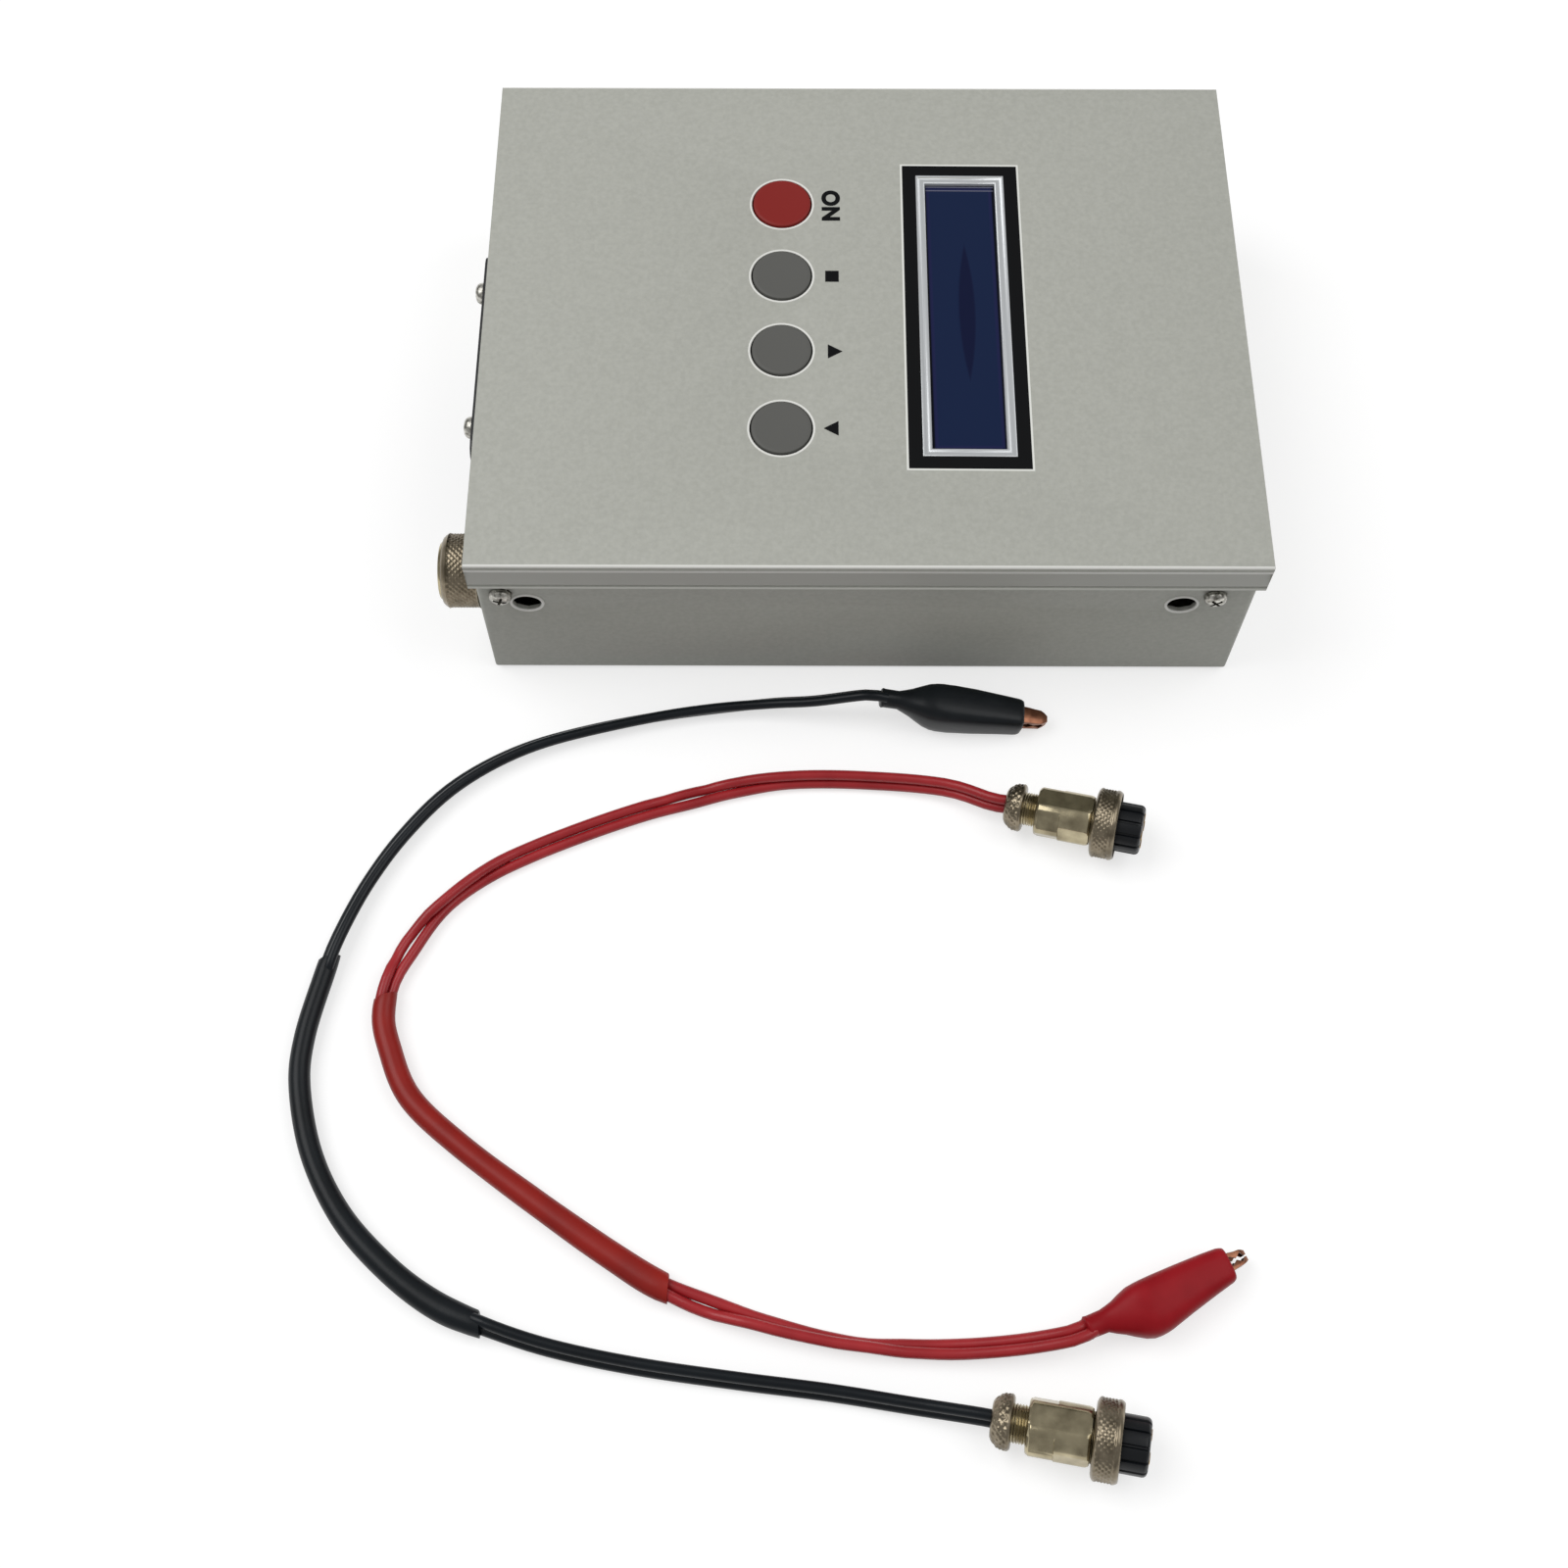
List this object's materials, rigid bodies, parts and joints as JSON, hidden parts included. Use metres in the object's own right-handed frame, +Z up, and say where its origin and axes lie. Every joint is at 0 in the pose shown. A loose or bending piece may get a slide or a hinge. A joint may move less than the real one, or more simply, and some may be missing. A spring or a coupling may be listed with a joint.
{
  "type": "battery capacity tester",
  "caption": "Bench battery capacity tester: sheet-metal case with a character display, push buttons, side fan and round sockets, plus loose clip leads with threaded plugs.",
  "frame": {"origin": "middle of the tester's footprint on the table, under its rubber feet, the leads not counted", "axes": "+X to the right as seen from the front, along the case's width; +Y to the rear; +Z up"},
  "size_m": [0.1817, 0.2757, 0.045],
  "materials": {
    "aluminium_extrusion": "plain extruded",
    "black_plastic": "matt black moulded",
    "black_pvc": "soft satin",
    "black_rubber": "matt",
    "blue_display_glass": "polished, dark blue behind",
    "capacitor_sleeve": "shrunk sleeve",
    "copper_plated_steel": "copper plated",
    "display_frame_metal": "light satin",
    "green_circuit_board": "green solder mask",
    "grey_button_plastic": "satin grey moulded",
    "grey_powder_coat": "fine-textured grey-beige powder coat",
    "nickel_plated_brass": "warm grey nickel plate",
    "red_button_plastic": "satin dark red moulded",
    "red_heat_shrink": "soft satin",
    "red_pvc": "soft satin",
    "zinc_plated_steel": "zinc plated"
  },
  "bodies": {
    "tester": {"base_tray": "grey_powder_coat", "black_clip_boot": "black_pvc", "black_clip_fixed_jaw": "copper_plated_steel", "black_clip_pin": "zinc_plated_steel", "black_clip_spring": "zinc_plated_steel", "black_cord_clip_end": "black_pvc", "black_cord_plug_end": "black_pvc", "black_plug_clamp": "nickel_plated_brass", "black_plug_insert": "black_plastic", "black_plug_shell": "nickel_plated_brass", "black_sleeve": "black_pvc", "case_screw_front_left": "zinc_plated_steel", "case_screw_front_right": "zinc_plated_steel", "case_screw_rear_left": "zinc_plated_steel", "case_screw_rear_right": "zinc_plated_steel", "fan_frame": "black_plastic", "fan_guard": "black_plastic", "fan_screw_lower_front": "zinc_plated_steel", "fan_screw_lower_rear": "zinc_plated_steel", "fan_screw_upper_front": "zinc_plated_steel", "fan_screw_upper_rear": "zinc_plated_steel", "filter_capacitor": "capacitor_sleeve", "foot_front_left": "black_rubber", "foot_front_right": "black_rubber", "foot_rear_left": "black_rubber", "foot_rear_right": "black_rubber", "heat_sink": "aluminium_extrusion", "keypad_board": "green_circuit_board", "lcd_frame": "display_frame_metal", "lcd_glass": "blue_display_glass", "main_board": "green_circuit_board", "power_jack": "black_plastic", "power_transistor": "black_plastic", "rear_socket_insert": "black_plastic", "rear_socket_nut": "nickel_plated_brass", "rear_socket_shell": "nickel_plated_brass", "red_clip_boot": "red_pvc", "red_clip_fixed_jaw": "copper_plated_steel", "red_clip_pin": "zinc_plated_steel", "red_clip_spring": "zinc_plated_steel", "red_cord_clip_end": "red_pvc", "red_cord_plug_end": "red_pvc", "red_plug_clamp": "nickel_plated_brass", "red_plug_insert": "black_plastic", "red_plug_shell": "nickel_plated_brass", "red_sleeve": "red_heat_shrink", "side_socket_insert": "black_plastic", "side_socket_nut": "nickel_plated_brass", "side_socket_shell": "nickel_plated_brass", "top_cover": "grey_powder_coat"},
    "power_button": {"power_button": "red_button_plastic"},
    "set_button": {"set_button": "grey_button_plastic"},
    "up_button": {"up_button": "grey_button_plastic"},
    "down_button": {"down_button": "grey_button_plastic"},
    "fan_rotor": {"fan_rotor": "black_plastic"},
    "red_plug_nut": {"red_plug_nut": "nickel_plated_brass"},
    "black_plug_nut": {"black_plug_nut": "nickel_plated_brass"},
    "red_clip_moving_jaw": {"red_clip_moving_jaw": "copper_plated_steel"},
    "black_clip_moving_jaw": {"black_clip_moving_jaw": "copper_plated_steel"}
  },
  "joints": [
    {"name": "power_press", "type": "slide", "parent": "tester", "child": "power_button", "axis": [0, 0, -1], "range_m": [0, 0.0006], "stiffness_N_per_m": 1500, "springref_m": -0.0005},
    {"name": "set_press", "type": "slide", "parent": "tester", "child": "set_button", "axis": [0, 0, -1], "range_m": [0, 0.0006], "stiffness_N_per_m": 1500, "springref_m": -0.0005},
    {"name": "up_press", "type": "slide", "parent": "tester", "child": "up_button", "axis": [0, 0, -1], "range_m": [0, 0.0006], "stiffness_N_per_m": 1500, "springref_m": -0.0005},
    {"name": "down_press", "type": "slide", "parent": "tester", "child": "down_button", "axis": [0, 0, -1], "range_m": [0, 0.0006], "stiffness_N_per_m": 1500, "springref_m": -0.0005},
    {"name": "fan_spin", "type": "hinge", "parent": "tester", "child": "fan_rotor", "pos_m": [-0.0691, -0.01155, 0.02325], "axis": [1, 0, 0], "continuous": true},
    {"name": "red_plug_nut_turn", "type": "hinge", "parent": "tester", "child": "red_plug_nut", "pos_m": [0.04804, -0.0961, 0.00666], "axis": [0.9618, -0.2469, 0.1183], "continuous": true},
    {"name": "black_plug_nut_turn", "type": "hinge", "parent": "tester", "child": "black_plug_nut", "pos_m": [0.04049, -0.20709, 0.00666], "axis": [0.976, -0.1827, 0.1183], "continuous": true},
    {"name": "red_clip_open", "type": "hinge", "parent": "tester", "child": "red_clip_moving_jaw", "pos_m": [0.05607, -0.18288, 0.00413], "axis": [0.0577, 0.0294, 0.9979], "range_deg": [0, 25], "stiffness_Nm_per_rad": 0.02, "springref_deg": -20.05, "deforming": ["red_clip_boot", "red_clip_spring"]},
    {"name": "black_clip_open", "type": "hinge", "parent": "tester", "child": "black_clip_moving_jaw", "pos_m": [0.02349, -0.07139, 0.00513], "axis": [-0.0941, -0.9956, 0], "range_deg": [0, 25], "stiffness_Nm_per_rad": 0.02, "springref_deg": -20.05, "deforming": ["black_clip_boot", "black_clip_spring"]}
  ]
}
